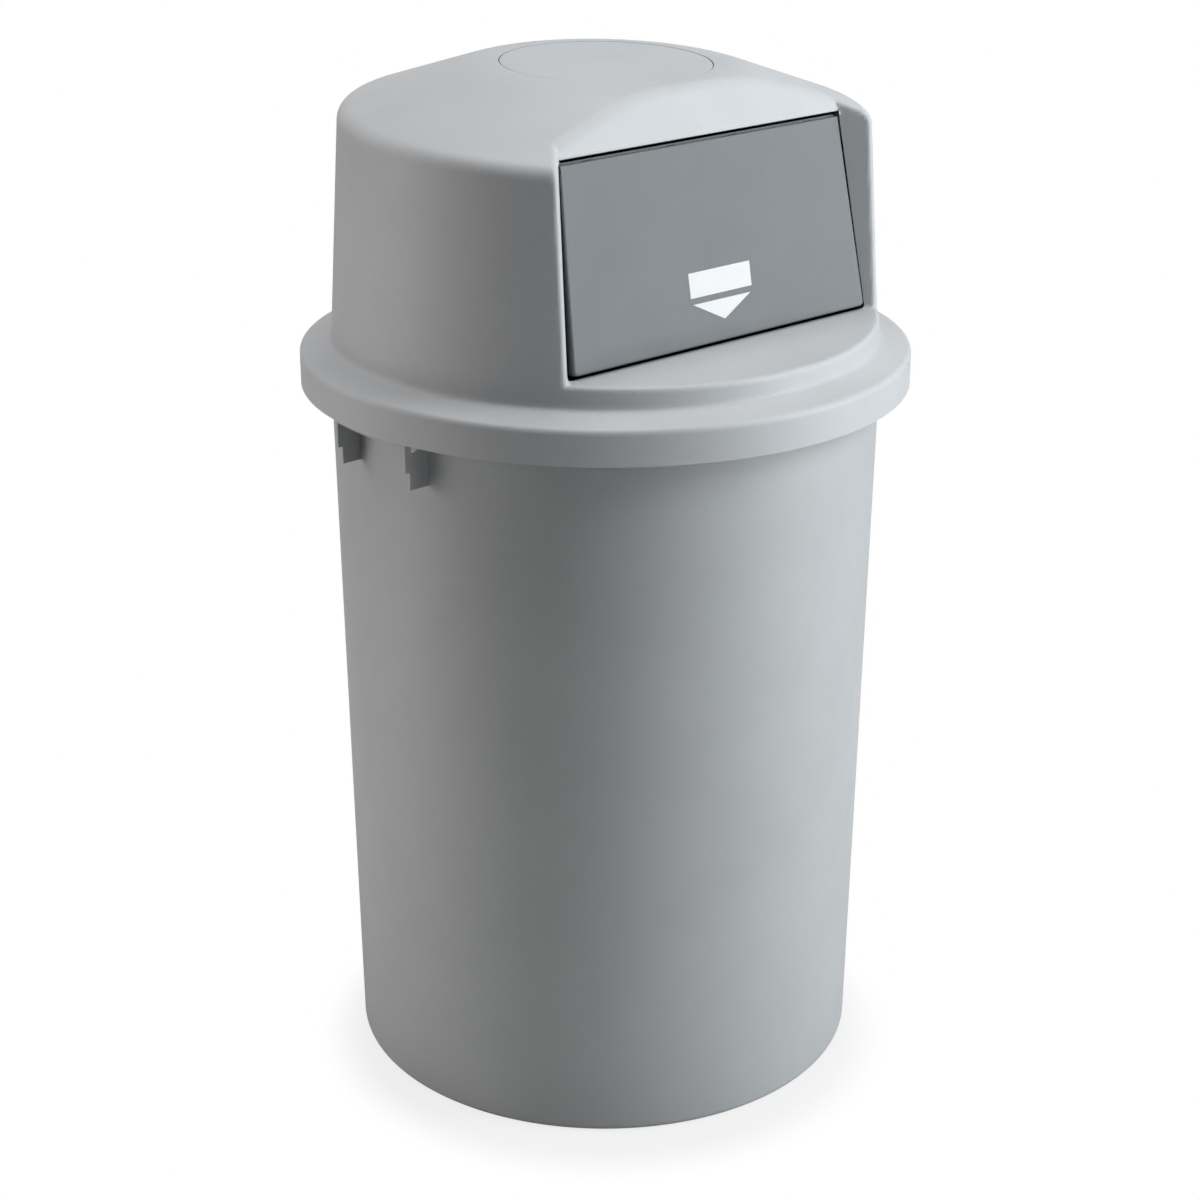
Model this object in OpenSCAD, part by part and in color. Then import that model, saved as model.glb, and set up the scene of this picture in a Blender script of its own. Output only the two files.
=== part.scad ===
// Outdoor waste bin: a tapered round tub with a lift-off domed lid and a sprung push flap.
// Millimetres. Origin at the centre of the tub's foot, +Z up, the flap faces -Y.

/* [Tub] */
// Outside radius of the tub at the floor
tub_base_r = 244.8; // [225:0.1:250]
// Outside radius of the tub just under its rim
tub_top_r = 254.6; // [252:0.1:264]
// Height of the rim above the floor
tub_h = 693; // [560:1:820]
// Wall of the tub
tub_wall = 4; // [3:0.1:5]
// Thickness of the tub's floor
floor_t = 5; // [3:0.5:8]
// Height of the floor's underside above the ground
floor_rise = 9; // [5:0.5:16]
// Width of the ring that the tub stands on
foot_w = 16; // [10:1:24]
// Radius of the tub's bottom edge
foot_edge_r = 7; // [4:0.5:9]

/* [Rim and hand grips] */
// How far the rim stands out from the wall
rim_w = 23.8; // [21:0.1:27]
// Thickness of the rim and of its turned-down lip
rim_t = 3; // [2:0.5:4]
// Depth of the turned-down lip
lip_h = 17; // [12:1:20]
// Depth of the lip between the ribs of a grip
grip_lip_h = 26; // [24:0.5:32]
// Distance between the middles of a grip's two ribs
grip_w = 97; // [80:1:120]
// Thickness of a grip's rib
grip_rib_t = 3; // [2.5:0.5:5]
// Depth of a rib where it meets the tub
grip_rib_h = 65; // [56:1:80]
// Depth of a rib at its outer edge
grip_step_h = 49; // [40:1:54]
// Width of the step at a rib's outer edge
grip_step_w = 9.4; // [7:0.2:12]
// Diameter of the cord hole in the rib nearer the flap
grip_hole_d = 7.5; // [5:0.5:9]

/* [Lid] */
// Wall of the lid
lid_t = 3; // [2.5:0.1:3.5]
// Gap between the tub's lip and the lid's skirt
lid_fit = 1.1; // [0.8:0.1:2]
// How far the skirt hangs below the top of the rim
skirt_drop = 21.5; // [19:0.5:25]
// Height of the dome wall's foot above the rim
flange_rise = 18; // [16:0.5:22]
// Slope of the flange's top
flange_slope = 15; // [10:1:22]
// Radius of the flange's outer edge
flange_edge_r = 5.5; // [4:0.5:9]
// Radius in the corner between flange and dome wall
flange_fillet_r = 5; // [3:0.5:7]
// How far the dome's wall stands inside the tub's outer face
dome_set_in = 1.3; // [0.5:0.1:3]
// Draft of the dome's wall
dome_draft = 3.5; // [2:0.1:5]
// Radius of the dome's shoulder
shoulder_r = 15.5; // [10:0.5:22]
// Slope of the crown's cone
crown_slope = 19; // [16:0.5:22]
// Radius that blends the cone into the flat top
crown_blend_r = 138; // [110:1:160]
// Fall of the whole crown towards the flap
crown_tilt = 1.9; // [0:0.1:3]
// Height of the crown's top above the top of the mouth
crown_rise = 45; // [44:0.5:60]
// Height of the ring on which the lid sits, inside its flange
seat_t = 3; // [2:0.5:5]

/* [Mouth] */
// Height of the shelf in front of the flap, above the rim
shelf_h = 39; // [36:0.5:50]
// Depth of the shelf, from the dome's wall to the mouth's plane
shelf_depth = 95.5; // [85:0.5:104]
// Fall of the shelf towards the front
shelf_fall = 1.3; // [0:0.1:3]
// Height of the mouth, from the shelf to the edge of the brow
mouth_h = 181.3; // [150:0.1:200]
// Width of the mouth at the shelf
mouth_w = 364; // [334:1:372]
// Lean of the mouth's plane, back from upright
mouth_tilt = 8.85; // [5:0.05:12]
// Lean of the brow above the mouth, back from upright
brow_tilt = 22; // [14:1:30]
// Splay of the mouth's side cheeks
cheek_splay = 41; // [36:0.5:44]
// Lean of the cheeks
cheek_lean = 2.3; // [0:0.1:4]
// Depth of the lip that turns down behind the shelf
shelf_lip_h = 12; // [8:1:20]

/* [Crown disc] */
// Radius of the blanking disc
disc_r = 95.7; // [88:0.1:98]
// Gap round the disc
disc_gap = 0.5; // [0.3:0.1:1]
// Thickness of the disc's plate
disc_t = 3; // [2.5:0.5:4]
// How far the disc's middle is crowned
disc_crown = 1; // [0:0.1:2]
// Width of the ledge that carries the disc
disc_ledge_w = 8; // [6:0.5:12]
// Thickness of that ledge
disc_ledge_t = 3.5; // [2.5:0.5:5]
// Number of snap hooks under the disc
hook_n = 6; // [3:1:10]

/* [Flap] */
// Lean of the flap, back from upright; its foot stands out of the mouth's plane
flap_tilt = 10.25; // [8:0.05:13]
// Thickness of the flap's panel
flap_t = 3; // [2:0.1:3.5]
// Depth of the flap from its face to the edge of its return
flap_depth = 16; // [12:0.5:20]
// Gap under the flap
flap_gap_low = 3.9; // [3:0.1:6]
// Gap over the flap
flap_gap_top = 3.8; // [3:0.1:6]
// Gap beside the flap at its lower corners
flap_gap_side = 4.6; // [3:0.1:8]
// Gap beside the flap at its upper corners
flap_gap_side_top = 1.2; // [0.8:0.1:3]
// Radius of the flap's lower corners
flap_corner_r = 5; // [3:0.5:8]
// Radius of the flap's top edge
flap_top_r = 1.5; // [0.5:0.1:4]
// Height of the flap's stiffening ribs
flap_rib_h = 7; // [4:0.5:9]

/* [Hinge] */
// Diameter of the steel hinge rod
rod_d = 6; // [5:0.1:6.5]
// Running gap round the rod, on the radius
rod_fit = 0.05; // [0.02:0.01:0.1]
// Diameter of the spring wire
wire_d = 1.4; // [1.2:0.1:2]
// Gap between rod and coil, on the radius
coil_fit = 0.5; // [0.3:0.1:0.8]
// Gap between coil and flap, on the radius
coil_room = 0.4; // [0.3:0.1:0.8]
// Number of turns in each spring
coil_n = 6; // [3:1:7]
// Distance from one turn to the next
coil_pitch = 2.4; // [2.3:0.1:2.8]
// Length of the spring's leg on the flap
leg_flap = 30; // [20:1:45]
// Thickness of the bracket's plate
plate_t = 5; // [4:0.5:7]
// Gap between the flap's end and a bracket
end_gap = 4.4; // [4:0.1:6]
// Thickness of the rubber stop
stop_t = 2.5; // [2:0.1:3.5]
// Gap between flap and stop at rest
stop_gap = 0.3; // [0.2:0.05:0.5]
// Diameter of the bracket screws
screw_d = 4; // [3:0.1:4.5]
// Length of the bracket screws under the head
screw_l = 18; // [14:1:24]
// Diameter of the screw posts in the lid
post_d = 11; // [9:0.5:13]

/* [Hidden] */
$fn = 96;
BIG = 700;       // longer than anything it cuts
STEP_A = 7.5;    // degrees between points of a rounded profile
EPS = 0.01;      // sinks one solid into another of the same piece

TUB_GREY = "#a9acad";
LID_GREY = "#aaadaf";
FLAP_GREY = "#636869";
STEEL = "#b9bcbe";
RUBBER = "#26282a";

// heights
z_rim = tub_h;
z_skirt = z_rim - skirt_drop;
z_join = z_rim + flange_rise;
z_shelf = z_rim + shelf_h;
z_mouth = z_shelf + mouth_h;
z_crown = z_mouth + crown_rise;

// radii of rim and lid
rim_r = tub_top_r + rim_w;
flange_r = rim_r + lid_fit + lid_t;
dome_r = tub_top_r - dome_set_in;
function wall_r(z) = dome_r - tan(dome_draft) * (z - z_join);
function tub_r(z) = tub_base_r + (tub_top_r - tub_base_r) * z / z_skirt;

// the mouth's plane; depth is measured from the bin's axis towards -Y
door_foot = wall_r(z_shelf) - shelf_depth;
function door_depth(z) = door_foot - tan(mouth_tilt) * (z - z_shelf);
// half width of the mouth at a depth and height, from the cheeks' planes
function cheek_x(depth, z) = mouth_w / 2 + tan(cheek_splay) * (depth - door_foot)
    + tan(cheek_lean) / cos(cheek_splay) * (z - z_shelf);

// hinge axis; the flap's own frame has its origin there, y up the panel and z out of it
rod_r = rod_d / 2;
coil_r = rod_r + coil_fit + wire_d / 2;
pocket_r = coil_r + wire_d / 2 + coil_room;
hinge_r = pocket_r + flap_t;
z_flap_top = z_mouth - flap_gap_top;
flap_len = (mouth_h - flap_gap_top - flap_gap_low) / cos(flap_tilt);
axis_depth = door_depth(z_flap_top) + hinge_r * (sin(flap_tilt) - cos(flap_tilt));
axis_z = z_flap_top - hinge_r * (cos(flap_tilt) + sin(flap_tilt));
flap_low = hinge_r - flap_len;
flap_top_x = cheek_x(door_depth(z_mouth), z_mouth) - flap_gap_side_top;
flap_low_x = cheek_x(door_foot, z_shelf) - flap_gap_side;
side_slope = (flap_low_x - flap_top_x) / flap_len;
function flap_x(y) = flap_top_x + side_slope * (hinge_r - y);
return_top = -4 * hinge_r;   // the side returns stop here, clear of the brackets

// brackets, stops and springs, in the flap's frame
plate_x = flap_top_x + end_gap;
rod_half = plate_x + plate_t + 4;
knuckle_w = 9;
tail_x = flap_top_x - knuckle_w;
ledge_low = -coil_r + wire_d / 2 + 0.1;
ledge_top = ledge_low + 5;
tail_low = ledge_top + stop_t + stop_gap;
tail_t = 4;
tail_reach = 20;
ledge_in = hinge_r + 1;
ledge_out = tail_reach + 1;
coil_x1 = tail_x - 3;
coil_x0 = coil_x1 - coil_n * coil_pitch;
plate_low = -24;
plate_high = 11;
plate_back = -29;
posts = [[-22, 5.8], [-9, -17]];   // z and y of the screw posts
head_h = 1.6;

// shared shapes
function arc(cx, cy, r, a0, a1) = let (n = ceil(abs(a1 - a0) / STEP_A))
    [for (i = [0:n]) let (a = a0 + (a1 - a0) * i / n) [cx + r * cos(a), cy + r * sin(a)]];

module along_x(w) {
    rotate([90, 0, 90]) linear_extrude(w, center = true) children();
}

module rod_x(x0, x1, r) {
    translate([x0, 0, 0]) rotate([0, 90, 0]) cylinder(r = r, h = x1 - x0);
}

module box(x0, x1, y0, y1, z0, z1) {
    translate([x0, y0, z0]) cube([x1 - x0, y1 - y0, z1 - z0]);
}

module flap_frame() {
    translate([0, -axis_depth, axis_z]) rotate([90 - flap_tilt, 0, 0]) children();
}

module crown_frame() {
    translate([0, 0, z_crown]) rotate([crown_tilt, 0, 0]) children();
}

// tub
module grip() {
    wall_r = tub_r(z_rim - grip_rib_h) - tub_wall / 2;
    rib_x = sqrt(wall_r * wall_r - grip_w * grip_w / 4);
    edge_r = rim_r - 0.4;
    z_top = z_rim - rim_t / 2;
    for (side = [-1, 1])
        difference() {
            intersection() {
                translate([0, side * grip_w / 2, 0]) rotate([90, 0, 0])
                    linear_extrude(grip_rib_t, center = true)
                        polygon([[rib_x, z_top], [rim_r + 1, z_top], [rim_r + 1, z_rim - grip_step_h],
                                 [rim_r - grip_step_w, z_rim - grip_step_h],
                                 [rim_r - grip_step_w, z_rim - grip_rib_h], [rib_x, z_rim - grip_rib_h]]);
                translate([0, 0, z_rim - 2 * grip_rib_h]) cylinder(r = edge_r, h = 2 * grip_rib_h);
            }
            translate([tub_top_r + rim_w / 2.6, -grip_w / 2, z_rim - lip_h - 12]) rotate([90, 0, 0])
                cylinder(d = grip_hole_d, h = 4 * grip_rib_t, center = true);
        }
    intersection() {
        rotate_extrude() polygon([[rim_r - rim_t + 0.3, z_rim - grip_lip_h], [rim_r - 0.2, z_rim - grip_lip_h],
                                  [rim_r - 0.2, z_rim - lip_h / 2], [rim_r - rim_t + 0.3, z_rim - lip_h / 2]]);
        box(0, rim_r + 10, -grip_w / 2, grip_w / 2, z_rim - 2 * grip_lip_h, z_rim);
    }
}

module tub_shell() {
    z_under = z_rim - rim_t;
    foot_r = tub_base_r - foot_edge_r;
    rotate_extrude($fn = 180) polygon(concat(
        [[0, floor_rise], [foot_r - foot_w - 2, floor_rise], [foot_r - foot_w, 0]],
        arc(foot_r, foot_edge_r, foot_edge_r, 270, 360),
        [[tub_r(z_under), z_under], [rim_r - rim_t, z_under], [rim_r - rim_t, z_rim - lip_h],
         [rim_r, z_rim - lip_h]],
        arc(rim_r - rim_t, z_rim - rim_t, rim_t, 0, 90),
        [[tub_r(z_rim) - tub_wall, z_rim], [tub_r(floor_rise + floor_t + 12) - tub_wall, floor_rise + floor_t + 12]],
        arc(tub_r(floor_rise + floor_t) - tub_wall - 12, floor_rise + floor_t + 12, 12, -15, -90),
        [[0, floor_rise + floor_t]]));
}

module tub() color(TUB_GREY) {
    tub_shell();
    for (side = [0, 1]) mirror([side, 0, 0]) grip();
}

// lid
module upright(t) {
    slope_t = tan(flange_slope);
    edge_c = [flange_r - flange_edge_r,
              z_join - (flange_r - flange_edge_r - dome_r) * slope_t - flange_edge_r / cos(flange_slope)];
    z_c = z_join - flange_fillet_r * slope_t + flange_fillet_r / cos(flange_slope);
    fillet_c = [wall_r(z_c) + flange_fillet_r, z_c];
    z_top = z_crown + 40;
    z_low = t > 0 ? z_skirt - 1 : z_skirt;
    rotate_extrude($fn = 180) polygon(concat(
        [[0, z_low], [flange_r - t, z_low]],
        arc(edge_c[0], edge_c[1], flange_edge_r - t, 0, 90 - flange_slope),
        arc(fillet_c[0], fillet_c[1], flange_fillet_r + t, 270 - flange_slope, 180),
        [[wall_r(z_top) - t, z_top], [0, z_top]]));
}

module crown_cap(t) {
    cone_r = disc_r + crown_blend_r * sin(crown_slope);
    cone_z = crown_blend_r * (cos(crown_slope) - 1);
    z_j = z_join - z_crown;
    k = tan(dome_draft);
    c = cos(crown_slope);
    s = sin(crown_slope);
    run = (shoulder_r / cos(dome_draft) - dome_r + k * (cone_z - shoulder_r * c - z_j) + cone_r - shoulder_r * s)
        / (k * s - c);
    centre = [cone_r + run * c - shoulder_r * s, cone_z - run * s - shoulder_r * c];
    end_a = 15;
    depth = z_crown - z_skirt + 60;
    crown_frame() rotate_extrude($fn = 180) polygon(concat(
        [[0, -t]],
        arc(disc_r, -crown_blend_r, crown_blend_r - t, 90, 90 - crown_slope),
        arc(centre[0], centre[1], shoulder_r - t, 90 - crown_slope, end_a),
        [[centre[0] + (shoulder_r - t) * cos(end_a) + depth * tan(end_a), centre[1] - depth], [0, centre[1] - depth]]));
}

module dome(t) {
    intersection() {
        upright(t);
        crown_cap(t);
    }
}

// The space in front of the flap; grow thickens it into the walls that line it, back deepens it.
module mouth(grow, back) {
    top_y = -door_depth(z_mouth);
    rise = crown_rise + 60;
    out_y = -BIG;
    difference() {
        along_x(BIG) polygon([
            [back - door_depth(z_shelf - grow), z_shelf - grow],
            [top_y + back, z_mouth],
            [top_y, z_mouth],
            [top_y + grow * cos(brow_tilt), z_mouth - grow * sin(brow_tilt)],
            [top_y + grow * cos(brow_tilt) + rise * tan(brow_tilt), z_mouth - grow * sin(brow_tilt) + rise],
            [out_y, z_mouth + rise],
            [out_y, z_shelf - grow - (BIG - door_foot) * tan(shelf_fall)]]);
        for (side = [0, 1]) mirror([side, 0, 0])
            translate([mouth_w / 2, -door_foot, z_shelf]) rotate([0, cheek_lean, cheek_splay])
                box(grow, BIG, -BIG, BIG, -BIG, BIG);
    }
}

module lid() color(LID_GREY) {
    seat_r = dome_r + 9;
    difference() {
        union() {
            difference() {
                dome(0);
                difference() {
                    dome(lid_t);
                    mouth(lid_t, 0);
                    flap_frame() for (side = [-1, 1], p = posts)
                        translate([0, p[1], p[0]]) scale([side, 1, 1]) rod_x(plate_x + plate_t, BIG / 2, post_d / 2);
                    crown_frame() translate([0, 0, -disc_t - disc_ledge_t])
                        cylinder(r = disc_r + disc_gap + 4, h = disc_ledge_t + disc_t + 10);
                }
            }
            rotate_extrude() polygon([[seat_r, z_rim], [seat_r + seat_t, z_rim],
                [seat_r + seat_t, z_join - (seat_r + seat_t - dome_r) * tan(flange_slope) - lid_t / 2],
                [seat_r, z_join - (seat_r - dome_r) * tan(flange_slope) - lid_t / 2]]);
            box(-mouth_w / 2 - lid_t, mouth_w / 2 + lid_t, -door_foot - lid_t, -door_foot,
                z_shelf - shelf_lip_h, z_shelf - lid_t / 2);
        }
        mouth(0, 1);
        crown_frame() {
            translate([0, 0, -disc_t]) cylinder(r = disc_r + disc_gap, h = disc_t + 10);
            translate([0, 0, -3 * disc_t - disc_ledge_t]) cylinder(r = disc_r - disc_ledge_w, h = 4 * disc_t + disc_ledge_t);
        }
        flap_frame() for (side = [-1, 1], p = posts)
            translate([0, p[1], p[0]]) scale([side, 1, 1])
                rod_x(plate_x - EPS, plate_x + screw_l + 2, screw_d / 2);
    }
}

// blanking disc in the crown
module crown_disc() color(LID_GREY) crown_frame() {
    skirt_r = disc_r - disc_ledge_w - disc_gap;
    cap_r = (disc_r * disc_r + disc_crown * disc_crown) / (2 * disc_crown + EPS);
    rotate_extrude() polygon(concat(
        [[0, -disc_t], [skirt_r - 2.5, -disc_t], [skirt_r - 2.5, -disc_t - disc_ledge_t - 1],
         [skirt_r, -disc_t - disc_ledge_t - 1], [skirt_r, -disc_t], [disc_r, -disc_t], [disc_r, 0]],
        [for (i = [5:-1:0]) let (r = disc_r * i / 6) [r, sqrt(cap_r * cap_r - r * r) - cap_r + disc_crown]]));
    for (i = [0:hook_n - 1]) rotate([0, 0, i * 360 / hook_n])
        translate([0, 5, 0]) rotate([90, 0, 0]) linear_extrude(10)
            polygon([[skirt_r - 2.5, -disc_t - disc_ledge_t - 5], [skirt_r + 1.5, -disc_t - disc_ledge_t - 1.6],
                     [skirt_r + 1.5, -disc_t - disc_ledge_t - 0.3], [skirt_r - EPS, -disc_t - disc_ledge_t - 0.3],
                     [skirt_r - 2.5, -disc_t - disc_ledge_t - 0.3]]);
}

// flap
module flap_outline(inset) {
    r = max(flap_corner_r - inset, 0.5);
    y0 = flap_low + inset;
    x0 = flap_x(y0) - inset;
    right = concat(arc(x0 - r, y0 + r, r, -90, 0), [[flap_x(0) - inset, 0]]);
    left = [for (i = [len(right) - 1:-1:0]) [-right[i][0], right[i][1]]];
    polygon(concat(right, left));
}

module knuckle(x0, x1) {
    rod_x(x0, x1, hinge_r - 0.2);
}

module flap() color(FLAP_GREY) flap_frame() {
    ribs_x = [-110, -37, 37, 110];
    knuckles = [[tail_x, flap_top_x], [coil_x0 - 3 - 10, coil_x0 - 3], [32, 42]];
    difference() {
        union() {
            translate([0, 0, pocket_r]) linear_extrude(flap_t) flap_outline(0);
            translate([0, 0, hinge_r - flap_depth]) linear_extrude(flap_depth - EPS) difference() {
                flap_outline(0);
                flap_outline(flap_t);
                translate([-BIG, return_top]) square([2 * BIG, BIG]);
            }
            // top edge, rolled over the springs behind
            difference() {
                union() {
                    intersection() {
                        rod_x(-flap_top_x, flap_top_x, hinge_r);
                        box(-BIG, BIG, -EPS, BIG, -BIG, EPS);
                    }
                    along_x(2 * flap_top_x) polygon(concat([[hinge_r, 0]],
                        arc(hinge_r - flap_top_r, hinge_r - flap_top_r, flap_top_r, 0, 90), [[-EPS, hinge_r], [-EPS, 0]]));
                }
                rod_x(-BIG, BIG, pocket_r);
            }
            for (side = [0, 1], k = knuckles) mirror([side, 0, 0]) knuckle(k[0], k[1]);
            for (side = [0, 1]) mirror([side, 0, 0])
                box(tail_x, flap_top_x, tail_low, tail_low + tail_t, -tail_reach, -pocket_r + 2);
            for (x = ribs_x)
                box(x - 1.2, x + 1.2, flap_low + 1, -hinge_r, pocket_r - flap_rib_h, pocket_r + 1);
            box(-flap_top_x + 8, flap_top_x - 8, flap_low / 2 - 1.2, flap_low / 2 + 1.2,
                pocket_r - flap_rib_h, pocket_r + 1);
        }
        rod_x(-BIG, BIG, rod_r + rod_fit);
    }
}

// hinge
module hinge_rod() color(STEEL) flap_frame() rod_x(-rod_half, rod_half, rod_r);

module bracket(side) {
    color(LID_GREY) scale([side, 1, 1]) flap_frame() difference() {
        union() {
            difference() {
                box(plate_x, plate_x + plate_t, plate_low, plate_high, plate_back, pocket_r - 1);
                translate([0, plate_low, pocket_r]) rotate([45, 0, 0]) box(-BIG, BIG, -9, 9, -9, 9);
            }
            box(coil_x1 - 1, plate_x + EPS, ledge_low, ledge_top, -ledge_out, -ledge_in);
            box(plate_x - 10, plate_x + EPS, ledge_low - 5, ledge_low + EPS, -ledge_out, -ledge_out + 3);
        }
        rod_x(-BIG, BIG, rod_r + rod_fit);
        for (p = posts) translate([0, p[1], p[0]]) rod_x(plate_x - 1, plate_x + plate_t + 1, screw_d / 2 + 0.4);
        translate([(tail_x + flap_top_x) / 2, 0, -(ledge_in + ledge_out) / 2]) rotate([-90, 0, 0])
            translate([0, 0, ledge_low - 1]) cylinder(r = 1.6, h = 12);
    }
}

module bracket_left() bracket(-1);
module bracket_right() bracket(1);

module stop_pad(side) {
    color(RUBBER) scale([side, 1, 1]) flap_frame()
        translate([(tail_x + flap_top_x) / 2, 0, -(ledge_in + ledge_out) / 2]) rotate([-90, 0, 0]) {
            translate([0, 0, ledge_top]) cylinder(r1 = 4.2, r2 = 3.6, h = stop_t);
            translate([0, 0, ledge_low]) cylinder(r = 1.55, h = ledge_top - ledge_low + EPS);
        }
}

module stop_pad_left() stop_pad(-1);
module stop_pad_right() stop_pad(1);

module rod_clip(side) {
    color(STEEL) scale([side, 1, 1]) flap_frame() translate([plate_x + plate_t, 0, 0]) rotate([0, 90, 0])
        rotate_extrude() polygon([[rod_r + 0.02, 0], [6.5, 0], [6.5, 0.8], [4.6, 1.4], [4.2, 3], [rod_r + 0.02, 3]]);
}

module rod_clip_left() rod_clip(-1);
module rod_clip_right() rod_clip(1);

// torsion spring: a slanted leg on the flap, the coil, and a leg under the bracket's ledge
function spring_path() = let (r = coil_r, steps = 12, n = coil_n * steps + steps * 3 / 4)
    concat(
        [for (i = [0:3]) let (f = i / 4) [coil_x0, -leg_flap * (1 - f), r - 2 * r * f]],
        [for (i = [0:n]) let (a = 180 - i * 360 / steps)
            [coil_x0 + (coil_x1 - coil_x0) * i / n, r * sin(a), r * cos(a)]],
        [for (i = [1:2]) [coil_x1, -r, -i * ledge_out / 2.2]]);

function unit(v) = v / norm(v);

module wire(path, r, sides) {
    last = len(path) - 1;
    function tangent(i) = unit(path[min(i + 1, last)] - path[max(i - 1, 0)]);
    rings = [for (i = [0:last]) let (t = tangent(i), u = unit(cross(t, [1, 0, 0])), v = cross(t, u))
        for (j = [0:sides - 1]) path[i] + r * (cos(360 * j / sides) * u + sin(360 * j / sides) * v)];
    walls = [for (i = [0:last - 1], j = [0:sides - 1]) let (a = i * sides, k = (j + 1) % sides)
        each [[a + j, a + k, a + sides + k], [a + j, a + sides + k, a + sides + j]]];
    ends = [[for (j = [sides - 1:-1:0]) j], [for (j = [0:sides - 1]) last * sides + j]];
    polyhedron(rings, concat(walls, ends));
}

module spring(side) {
    color(STEEL) scale([side, 1, 1]) flap_frame() wire(spring_path(), wire_d / 2, 6);
}

module spring_left() spring(-1);
module spring_right() spring(1);

module bracket_screws() color(STEEL) flap_frame()
    for (side = [-1, 1], p = posts) translate([0, p[1], p[0]]) scale([side, 1, 1]) difference() {
        union() {
            rod_x(plate_x, plate_x + screw_l, screw_d / 2 - 0.05);
            rod_x(plate_x - head_h, plate_x, 0.95 * screw_d);
        }
        for (turn = [0, 90]) rotate([turn, 0, 0]) box(plate_x - 2 * head_h, plate_x - head_h / 2, -2.2, 2.2, -0.5, 0.5);
    }

tub();
lid();
crown_disc();
flap();
hinge_rod();
bracket_left();
bracket_right();
spring_left();
spring_right();
rod_clip_left();
rod_clip_right();
stop_pad_left();
stop_pad_right();
bracket_screws();
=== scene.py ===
# Outdoor waste bin with a domed lid and a push flap, which faces -Y. Shapes are worked out in millimetres.
import math

import bmesh
import bpy
import numpy as np
from mathutils import Matrix, Vector


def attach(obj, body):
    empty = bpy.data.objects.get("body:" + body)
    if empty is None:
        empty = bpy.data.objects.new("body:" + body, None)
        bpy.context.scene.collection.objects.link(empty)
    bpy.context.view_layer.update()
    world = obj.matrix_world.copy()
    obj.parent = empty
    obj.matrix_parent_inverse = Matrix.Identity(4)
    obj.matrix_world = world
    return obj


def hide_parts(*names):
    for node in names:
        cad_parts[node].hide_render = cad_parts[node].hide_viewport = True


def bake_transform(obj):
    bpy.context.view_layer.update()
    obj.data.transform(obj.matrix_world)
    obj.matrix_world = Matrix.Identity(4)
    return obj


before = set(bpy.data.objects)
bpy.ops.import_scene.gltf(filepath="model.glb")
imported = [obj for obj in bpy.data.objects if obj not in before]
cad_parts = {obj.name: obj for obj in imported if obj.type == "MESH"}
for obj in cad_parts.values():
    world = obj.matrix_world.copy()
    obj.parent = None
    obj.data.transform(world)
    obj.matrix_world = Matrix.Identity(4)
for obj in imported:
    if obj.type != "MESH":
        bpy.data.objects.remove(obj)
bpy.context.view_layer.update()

MM = 0.001

# Heights and radii of the bin
RIM_Z = 693.0
SKIRT_Z = 671.5
JOIN_Z = 711.0
SHELF_Z = 732.0
MOUTH_Z = 913.3
CROWN_Z = 958.3
TUB_FOOT_R = 244.8
TUB_TOP_R = 254.6
TUB_WALL = 4.0
FOOT_R = 7.0
RIM_R = 278.4
FLANGE_R = 282.5
WALL_FOOT_R = 253.3
LID_WALL = 3.0

# Slopes and leans
WALL_DRAFT = math.radians(3.5)
FLANGE_SLOPE = math.radians(15.0)
CROWN_TILT = math.radians(1.9)
CONE_SLOPE = math.radians(19.0)
MOUTH_LEAN = math.radians(8.85)
FLAP_LEAN = math.radians(10.25)
BROW_LEAN = math.radians(22.0)
SHELF_FALL = math.radians(1.3)
CHEEK_SPLAY = math.radians(41.0)
CHEEK_LEAN = math.radians(2.3)

# Crown and its blanking disc
DISC_R = 95.7
REBATE_R = 96.3
CROWN_BEND_R = 138.0
CONE_R = DISC_R + CROWN_BEND_R * math.sin(CONE_SLOPE)
CONE_H = CROWN_BEND_R * (math.cos(CONE_SLOPE) - 1)
SHOULDER_R = 15.5

# Mouth: depth is measured from the bin's axis towards -Y
DOOR_FOOT = WALL_FOOT_R - math.tan(WALL_DRAFT) * (SHELF_Z - JOIN_Z) - 95.5
DOOR_TOP = DOOR_FOOT - math.tan(MOUTH_LEAN) * (MOUTH_Z - SHELF_Z)
MOUTH_HALF = 182.0

# Flap, in a frame of its own: origin on the hinge, y up the panel, z out of it
ROD_R = 3.0
POCKET_R = 5.3
HINGE_R = 8.3
FLAP_LENGTH = (MOUTH_Z - SHELF_Z - 7.7) / math.cos(FLAP_LEAN)
FLAP_LOW = HINGE_R - FLAP_LENGTH
FLAP_LOW_HALF = 177.4
FLAP_TOP_HALF = 165.9
FLAP_DEPTH = 16.0
FLAP_WALL = 3.0
FLAP_RIBS = (-110.0, -37.0, 37.0, 110.0)
RIB_HALF = 1.4
RIB_MIDDLE_Z = POCKET_R - 3.0

# Rounds on the lid's edges and fillets in its corners, which fade out over FILLET_FADE
WALL_FILLET_R = 5.0
FLANGE_EDGE_R = 5.5
SHELF_EDGE_R = 4.0
BROW_EDGE_R = 16.0
CHEEK_EDGE_R = 4.5
CHEEK_FILLET_R = 2.0
SHELF_FILLET_R = 2.5
FILLET_FADE = 5.0

# Cosines of the angles that the faces turn through at those edges
WALL_TO_CROWN = math.cos(math.radians(67.5))
WALL_TO_FLANGE = math.cos(math.radians(71.5))
SKIRT_TO_FLANGE = math.cos(math.radians(75))
DOME_TO_BROW = 0.53
DOME_TO_CHEEK = -0.17
BROW_TO_CHEEK = 0.62
ANY_TO_SHELF = 0.04

# The form is cut away to this depth behind the mouth's plane, and its brow runs this far below the mouth's top,
# where the mesh is then trimmed
DOOR_CUT = 12.0
BROW_SPARE = 4.3

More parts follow.
